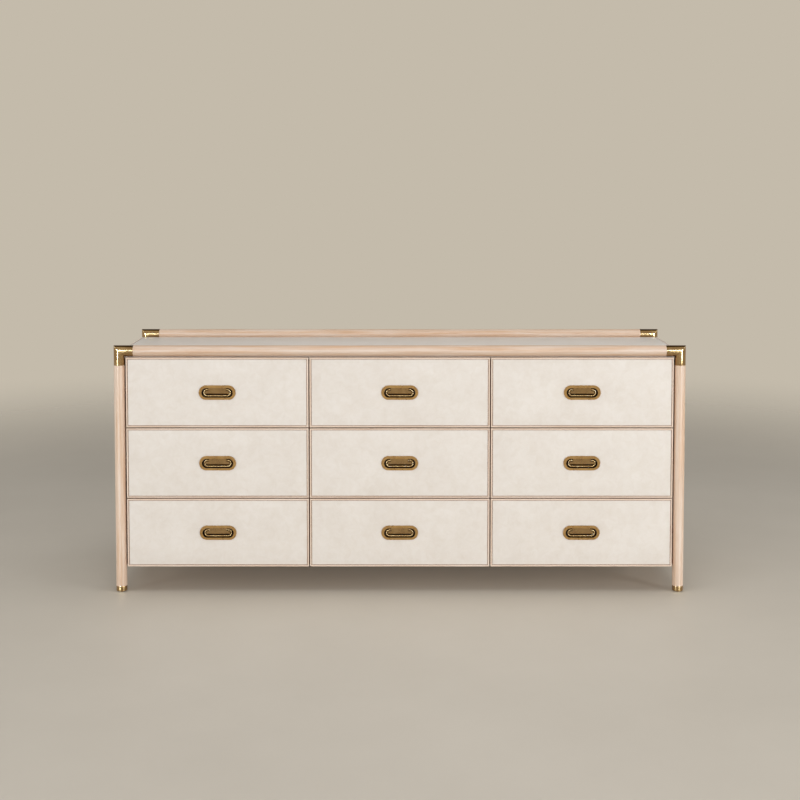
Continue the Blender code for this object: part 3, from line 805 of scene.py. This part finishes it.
def brass_fittings():
    """An elbow at the top and a foot at the bottom of each post."""
    for face in FACES:
        for end, out in ENDS:
            post = middle(f"post_{face}_{end}")
            node = f"elbow_{face}_{end}"
            mesh = finished(elbow_shape(out), (post.x, post.y, RAIL_Z))
            brass = [SLEEVE_BRASS[2], SLEEVE_BRASS[0]]
            piece(f"{node}_sleeve", mesh, brass, "case", "antique_brass", node)
            node = f"foot_{face}_{end}"
            mesh = finished(foot_shape(), (post.x, post.y, 0))
            piece(f"{node}_ferrule", mesh, [SLEEVE_BRASS[2]], "case", "antique_brass", node)


# Case


def dress_panels():
    """The case's own panels keep their CAD shapes and take wood with the grain their way."""
    woods = {
        "top_panel": TOP_OAK,
        "bottom_panel": OAK[0],
        "back_panel": OAK[0],
        "side_panel": OAK[2],
        "divider": OAK[1],
    }
    for name, node in frame["nodes"].items():
        for start, material in woods.items():
            if name.startswith(start):
                node.material_slots[0].material = material


def covers():
    """The coverings let into the top and the sides."""
    low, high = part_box("top_cover")
    mesh = finished(slab(low, high, EDGE_ROUND))
    piece("top_covering", mesh, [CREAM], "case", "cream_covering", "top_cover")
    for end, _ in ENDS:
        node = f"side_cover_{end}"
        low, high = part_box(node)
        mesh = finished(slab(low, high, COVER_ROUND))
        piece(f"side_covering_{end}", mesh, [CREAM], "case", "cream_covering", node)


# Drawers


def bead_section():
    """Section of the edging as (inward, back) points: rounded at the front, square at the back."""
    section = [(0, FRONT_T)]
    section += arc(BEAD_ROUND)
    section += [(BEAD_W - inward, back) for inward, back in reversed(arc(BEAD_ROUND))]
    section += [(BEAD_W, FRONT_T)]
    return section


def edging_shape(width, height):
    """Four mitred strips round a front. The uprights take the second material."""
    shape = bmesh.new()
    loops = []
    for inward, back in bead_section():
        x = width / 2 - inward
        z = height / 2 - inward
        corners = ((-x, -z), (x, -z), (x, z), (-x, z))
        loops.append(ring(shape, corners, back))
    for near, far in zip(loops, loops[1:] + loops[:1]):
        for side in range(4):
            following = (side + 1) % 4
            face = shape.faces.new((near[side], near[following], far[following], far[side]))
            face.material_index = side % 2
    return shape


def front_pieces(name, spot, width, height):
    """Edging, board and covering of one drawer's front, with the middle of its face at the spot."""
    mesh = finished(edging_shape(width, height), spot)
    piece(f"{name}_edging", mesh, [PALE_OAK[0], PALE_OAK[2]], name, "limed_oak", f"{name}_box")
    hole = (RECESS_W + 2 * CUP_CLEAR, RECESS_H + 2 * CUP_CLEAR, RECESS_Z)
    sunk = COVER_BACK_Y - FRONT_FACE_Y + CORE_GAP
    inner_w = width - 2 * BEAD_W
    inner_h = height - 2 * BEAD_W
    shape = pierced_panel(inner_w, inner_h, FRONT_T - sunk, EDGE_ROUND, EDGE_ROUND, hole)
    mesh = finished(shape, (spot.x, spot.y + sunk, spot.z))
    piece(f"{name}_board", mesh, [PALE_OAK[0]], name, "limed_oak")
    size = extent(f"{name}_cover")
    shape = pierced_panel(size.x, size.z, size.y, COVER_CORNER, COVER_ROUND, hole)
    mesh = finished(shape, (spot.x, COVER_FACE_Y, spot.z))
    piece(f"{name}_covering", mesh, [CREAM], name, "cream_covering", f"{name}_cover")


def tailed_outline(low, high, length, pins):
    """Outline of a drawer side in YZ, with sockets for the pins of the front and back at its ends."""
    points = [(0, low), (length, low)]
    for spot in sorted(pins):
        points += [(length, spot - PIN_NARROW), (length - BOX_WALL, spot - PIN_WIDE)]
        points += [(length - BOX_WALL, spot + PIN_WIDE), (length, spot + PIN_NARROW)]
    points += [(length, high), (0, high)]
    for spot in sorted(pins, reverse=True):
        points += [(0, spot + PIN_NARROW), (BOX_WALL, spot + PIN_WIDE)]
        points += [(BOX_WALL, spot - PIN_WIDE), (0, spot - PIN_NARROW)]
    return points


def side_layers(low, high):
    """Height ranges of a drawer side's outer layer above and below its groove, and their pins."""
    groove = (low + high) / 2
    lower = (low, groove - RUNNER_H / 2 - GROOVE_PLAY)
    upper = (groove + RUNNER_H / 2 + GROOVE_PLAY, high)
    pins = []
    for start, end in (lower, upper):
        pins += [start + (end - start) * share for share in PIN_PLACE_SHARES]
    return lower, upper, pins


def drawer_side(out, half_w, low, high, length):
    """One side as an inner layer and the two outer layers that leave the groove between them."""
    lower, upper, pins = side_layers(low, high)
    layers = [(low, high, BOX_WALL - GROOVE_DEPTH, half_w - BOX_WALL)]
    layers += [(start, end, GROOVE_DEPTH, half_w - GROOVE_DEPTH) for start, end in (lower, upper)]
    shape = bmesh.new()
    for start, end, thickness, inner_x in layers:
        own_pins = [spot for spot in pins if start < spot < end]
        layer = extruded(tailed_outline(start, end, length, own_pins), thickness)
        for vert in layer.verts:
            vert.co = Vector((out * (inner_x + vert.co.z), vert.co.x, vert.co.y))
        mesh = bpy.data.meshes.new("layer")
        layer.to_mesh(mesh)
        layer.free()
        shape.from_mesh(mesh)
        bpy.data.meshes.remove(mesh)
    return shape


def drawer_box(name, spot, width, height):
    """The grooved sides, front, back and bottom of one drawer's box, behind the front's boards."""
    half_w = width / 2 - BOX_INSET
    low = BOX_RISE - height / 2
    high = height / 2 - BOX_DROP
    length = BOX_REAR_Y - spot.y - FRONT_T
    for end, out in ENDS:
        shape = drawer_side(out, half_w, low, high, length)
        mesh = finished(shape, (spot.x, spot.y + FRONT_T, spot.z))
        piece(f"{name}_box_side_{end}", mesh, [BOX_WOOD[1]], name, "drawer_wood")
    reach = half_w - END_GRAIN_STEP
    for part, start in (("front", END_GRAIN_STEP), ("back", length - BOX_WALL)):
        near = (-reach, FRONT_T + start, low + END_GRAIN_STEP)
        far = (reach, FRONT_T + start + BOX_WALL - END_GRAIN_STEP, high - END_GRAIN_STEP)
        mesh = finished(slab(near, far, END_GRAIN_STEP), spot)
        piece(f"{name}_box_{part}", mesh, [BOX_WOOD[0]], name, "drawer_wood")
    inner = half_w - BOX_WALL
    bottom_z = low + BOX_BOTTOM_LIFT
    near = (-inner, FRONT_T + BOX_WALL, bottom_z)
    far = (inner, FRONT_T + length - BOX_WALL, bottom_z + BOX_BOTTOM_T)
    mesh = finished(slab(near, far, EDGE_ROUND), spot)
    piece(f"{name}_box_bottom", mesh, [BOX_WOOD[0]], name, "drawer_wood")


# Pulls


def plate_shape():
    """Rim, recess and floor as loops of one outline, front at zero depth and open at the back."""
    shape = bmesh.new()
    loops = [ring(shape, stadium(PLATE_W, PLATE_H), PLATE_T)]
    for inward, back in arc(PLATE_ROUND):
        loops.append(ring(shape, stadium(PLATE_W - 2 * inward, PLATE_H - 2 * inward), back))
    for inward, back in reversed(arc(LIP_ROUND)):
        outline = stadium(RECESS_W + 2 * inward, RECESS_H + 2 * inward)
        loops.append(ring(shape, outline, back, RECESS_Z))
    for inward, back in arc(FLOOR_ROUND):
        outline = stadium(RECESS_W - 2 * inward, RECESS_H - 2 * inward)
        loops.append(ring(shape, outline, FLOOR_DEPTH - back, RECESS_Z))
    bridge(shape, loops)
    shape.faces.new(loops[-1])
    return shape


def land_outline():
    """Front view of the land as (x, height). Its wings fill the inside of the bail's C below the arms."""
    radius = BAIL_RADIUS - WIRE_R - WING_GAP
    centre_z = PIVOT_Z - BAIL_RADIUS
    half = [(LAND_W / 2, RECESS_Z + RECESS_H / 2), (LAND_W / 2, centre_z + radius)]
    for step in range(WING_STEPS + 1):
        angle = math.pi / 2 - math.pi * step / WING_STEPS
        half.append((BAIL_CURVE_X + radius * math.cos(angle), centre_z + radius * math.sin(angle)))
    half.append((LAND_W / 2, SCOOP_Z))
    return half + [(-x, z) for x, z in reversed(half)]


def scoop_depth(height):
    """How deep the land's front lies: flat above its lip, then rolling over into a scoop to the floor."""
    share = min(1, (height - SCOOP_Z) / (LIP_Z - SCOOP_Z))
    return LAND_STEP + (FLOOR_DEPTH - 2 * LAND_STEP) * (1 - share) ** SCOOP_CURVE


def land_shape():
    """The land's outline drawn back to the floor, its front cut in level bands and bent to the scoop."""
    shape = extruded(land_outline(), FLOOR_DEPTH)
    for step in range(SCOOP_STEPS):
        height = LIP_Z + (SCOOP_Z - LIP_Z) * step / SCOOP_STEPS
        bmesh.ops.bisect_plane(shape, geom=everything(shape), plane_co=(0, height, 0), plane_no=(0, 1, 0))
    for vert in shape.verts:
        x, height, back = vert.co
        vert.co = (x, FLOOR_DEPTH if back else scoop_depth(height), height)
    bmesh.ops.recalc_face_normals(shape, faces=shape.faces)
    front = [edge for edge in shape.edges if max(vert.co.y for vert in edge.verts) < FLOOR_DEPTH / 2]
    sharp = [edge for edge in front if edge.calc_face_angle(0) > SHARP_ANGLE]
    rounding(shape, sharp, LAND_ROUND, LAND_SEGMENTS)
    return shape


def bail_path():
    """The line of the bail as (x, z, share of the wire's radius), from its right pin to its left one."""
    arm_end = LAND_W / 2 + BAIL_ARM_GAP
    thin = PIN_R / WIRE_R
    half = [(LAND_W / 2 - PIN_L, 0, thin), (arm_end - PIN_TAPER, 0, thin)]
    half += [(arm_end, 0, SHOULDER_SHARE), (arm_end + PIN_TAPER, 0, 1)]
    for step in range(BAIL_STEPS + 1):
        angle = math.pi / 2 - math.pi * step / BAIL_STEPS
        x = BAIL_CURVE_X + BAIL_RADIUS * math.cos(angle)
        half.append((x, BAIL_RADIUS * math.sin(angle) - BAIL_RADIUS, 1))
    return half + [(-x, z, share) for x, z, share in reversed(half)]


def bail_mesh(spot):
    """A C of round wire hung from its own arms, with pins that go into the land."""
    points = bail_path()
    curve = bpy.data.curves.new("bail", "CURVE")
    curve.dimensions = "3D"
    curve.twist_mode = "Z_UP"
    curve.bevel_depth = WIRE_R
    curve.bevel_resolution = WIRE_STEPS
    curve.use_fill_caps = True
    spline = curve.splines.new("POLY")
    spline.points.add(len(points) - 1)
    for point, (x, z, share) in zip(spline.points, points):
        point.co = (x, 0, z, 1)
        point.radius = share
    obj = bpy.data.objects.new("bail", curve)
    bpy.context.scene.collection.objects.link(obj)
    mesh = bpy.data.meshes.new_from_object(obj.evaluated_get(bpy.context.evaluated_depsgraph_get()))
    bpy.data.objects.remove(obj)
    shape = bmesh.new()
    shape.from_mesh(mesh)
    bpy.data.meshes.remove(mesh)
    return finished(shape, spot)


def pull(name, spot):
    """Plate, land and bail of one drawer, with the middle of the rim's front at the spot."""
    mesh = finished(plate_shape(), spot)
    piece(f"{name}_plate", mesh, [PLATE_BRASS], name, "antique_brass", f"{name}_pull_plate")
    piece(f"{name}_land", finished(land_shape(), spot), [LAND_BRASS], name, "antique_brass")
    pivot = spot + Vector((0, PIVOT_DEPTH, PIVOT_Z))
    bail_body = name.replace("drawer", "bail")
    piece(f"{name}_bail_wire", bail_mesh(pivot), [BAIL_BRASS], bail_body, "antique_brass", f"{name}_bail")


def drawers():
    for row in ROWS:
        for column in COLUMNS:
            name = f"drawer_{row}_{column}"
            size = extent(f"{name}_box")
            centre = middle(f"{name}_box")
            spot = Vector((centre.x, FRONT_FACE_Y, centre.z))
            front_pieces(name, spot, size.x, size.z)
            drawer_box(name, spot, size.x, size.z)
            plate = middle(f"{name}_pull_plate")
            pull(name, Vector((plate.x, PLATE_FACE_Y, plate.z)))


# Studio


def floor_finish():
    """Pale plaster that fades into the backdrop far out and can be seen through from below."""
    finish = Finish("floor")
    haze = finish.noise(finish.place, scale=1.4, detail=5.0, rough=0.6)
    colour = finish.ramp(haze, ((0.3, srgb(194, 186, 173)), (0.7, srgb(200, 192, 179))))
    grit = finish.noise(finish.place, scale=90.0, detail=3.0)
    finish.shader.inputs["Specular IOR Level"].default_value = FLOOR_SPECULAR
    finish.finish(colour, 0.45, finish.bump(grit, FLOOR_RELIEF, 0.15))
    reach = finish.tree.nodes.new("ShaderNodeVectorMath")
    reach.operation = "LENGTH"
    finish.feed(reach.inputs[0], finish.place)
    fade = {"Value": reach.outputs["Value"], "From Min": FLOOR_FULL, "From Max": FLOOR_GONE}
    faded = finish.node("ShaderNodeMapRange", fade, interpolation_type="SMOOTHSTEP").outputs[0]
    behind = finish.tree.nodes.new("ShaderNodeNewGeometry").outputs["Backfacing"]
    blend = finish.tree.nodes.new("ShaderNodeMixShader")
    finish.feed(blend.inputs[0], finish.maths("MAXIMUM", behind, faded))
    finish.feed(blend.inputs[1], finish.shader.outputs[0])
    finish.feed(blend.inputs[2], finish.tree.nodes.new("ShaderNodeBsdfTransparent").outputs[0])
    finish.feed(finish.tree.nodes["Material Output"].inputs["Surface"], blend.outputs[0])
    return finish.material


def floor():
    shape = bmesh.new()
    bmesh.ops.create_grid(shape, x_segments=1, y_segments=1, size=FLOOR_REACH / 2)
    mesh = bpy.data.meshes.new("floor")
    shape.to_mesh(mesh)
    shape.free()
    mesh.materials.append(floor_finish())
    obj = bpy.data.objects.new("floor", mesh)
    obj.location.z = -FLOOR_DROP
    bpy.context.scene.collection.objects.link(obj)


def room_colour(tree):
    """Colour of a pale room that is dark high up at its back."""
    direction = tree.nodes.new("ShaderNodeTexCoord").outputs["Generated"]
    towards = tree.nodes.new("ShaderNodeVectorMath")
    towards.operation = "DOT_PRODUCT"
    towards.inputs[1].default_value = DARK_SIDE
    tree.links.new(direction, towards.inputs[0])
    shade = tree.nodes.new("ShaderNodeMapRange")
    shade.inputs["From Min"].default_value = DARK_START
    shade.inputs["From Max"].default_value = DARK_FULL
    tree.links.new(towards.outputs["Value"], shade.inputs["Value"])
    room = tree.nodes.new("ShaderNodeMix")
    room.data_type = "RGBA"
    room.inputs[6].default_value = srgb(196, 187, 171)
    room.inputs[7].default_value = srgb(60, 50, 38)
    tree.links.new(shade.outputs[0], room.inputs[0])
    return room.outputs[2]


def world():
    """Dim even light. The camera, gloss and clear things see the room instead."""
    scene_world = bpy.data.worlds.new("studio")
    bpy.context.scene.world = scene_world
    scene_world.use_nodes = True
    tree = scene_world.node_tree
    backdrop = tree.nodes["Background"]
    tree.links.new(room_colour(tree), backdrop.inputs["Color"])
    ambient = tree.nodes.new("ShaderNodeBackground")
    ambient.inputs["Color"].default_value = AMBIENT_TINT
    ambient.inputs["Strength"].default_value = AMBIENT_STRENGTH
    path = tree.nodes.new("ShaderNodeLightPath")
    seen = path.outputs["Is Camera Ray"]
    for name in ("Is Glossy Ray", "Is Transmission Ray"):
        either = tree.nodes.new("ShaderNodeMath")
        either.operation = "MAXIMUM"
        tree.links.new(seen, either.inputs[0])
        tree.links.new(path.outputs[name], either.inputs[1])
        seen = either.outputs[0]
    shown = tree.nodes.new("ShaderNodeMixShader")
    tree.links.new(seen, shown.inputs[0])
    tree.links.new(ambient.outputs[0], shown.inputs[1])
    tree.links.new(backdrop.outputs[0], shown.inputs[2])
    tree.links.new(shown.outputs[0], tree.nodes["World Output"].inputs["Surface"])


def lamp(name, setting, power, spread=180, out=1):
    """An area lamp by its place, target and size. With out at -1 it is mirrored to the left end."""
    spot, target, size = setting
    spot = Vector((out * spot[0], spot[1], spot[2]))
    target = Vector((out * target[0], target[1], target[2]))
    light = bpy.data.lights.new(name, "AREA")
    light.shape = "RECTANGLE"
    light.size, light.size_y = size
    light.energy = power
    light.spread = math.radians(spread)
    obj = bpy.data.objects.new(name, light)
    bpy.context.scene.collection.objects.link(obj)
    obj.location = spot
    obj.rotation_euler = (target - spot).to_track_quat("-Z", "Y").to_euler()
    obj.visible_camera = False
    return obj


def wash(name, setting, power, out=1):
    """A lamp that lights without showing as a gloss."""
    lamp(name, setting, power, out=out).visible_glossy = False


def glint(name, setting, power, kind, spread=180, out=1):
    """A lamp that only shows as a gloss, on the pieces whose names end in the kind.

    Its cool light turns nearly white on brass. Wood shows its light as it is.
    """
    light = lamp(name, setting, power, spread, out)
    light.data.color = WOOD_GLINT_TINT if kind == "dowel" else BRASS_GLINT_TINT
    light.visible_diffuse = False
    lit = bpy.data.collections.new(name)
    for obj in bpy.context.scene.objects:
        if obj.name.endswith(kind):
            lit.objects.link(obj)
    light.light_linking.receiver_collection = lit


def lamps():
    for end, out in ENDS:
        wash("soft_box", SOFT_BOX, SOFT_POWERS[end], out)
        wash("side_box", SIDE_BOX, SIDE_POWER, out)
        for kind, power, spread in UPRIGHT_GLINTS:
            own_kind = f"{end}_{kind}" if kind == "sleeve" else kind
            glint(f"upright_glint_{own_kind}", UPRIGHT_STRIP, power, own_kind, spread, out)
        glint("corner_glint", CORNER_BOX, CORNER_POWER, "sleeve", out=out)
    wash("front_wash", FRONT_STRIP, FRONT_POWER)
    for kind, power in LEVEL_GLINTS:
        glint(f"level_glint_{kind}", LEVEL_STRIP, power, kind)
    wash("overhead", OVERHEAD, OVERHEAD_POWER)


def camera():
    data = bpy.data.cameras.new("camera")
    data.lens = CAMERA_LENS
    data.shift_y = CAMERA_SHIFT
    obj = bpy.data.objects.new("camera", data)
    bpy.context.scene.collection.objects.link(obj)
    obj.location = CAMERA_PLACE
    obj.rotation_euler = (math.radians(90 - CAMERA_TILT), 0, 0)
    bpy.context.scene.camera = obj


camera()
world()
floor()
posts_and_rails()
brass_fittings()
dress_panels()
covers()
drawers()
lamps()
bpy.context.scene.view_settings.view_transform = "Standard"
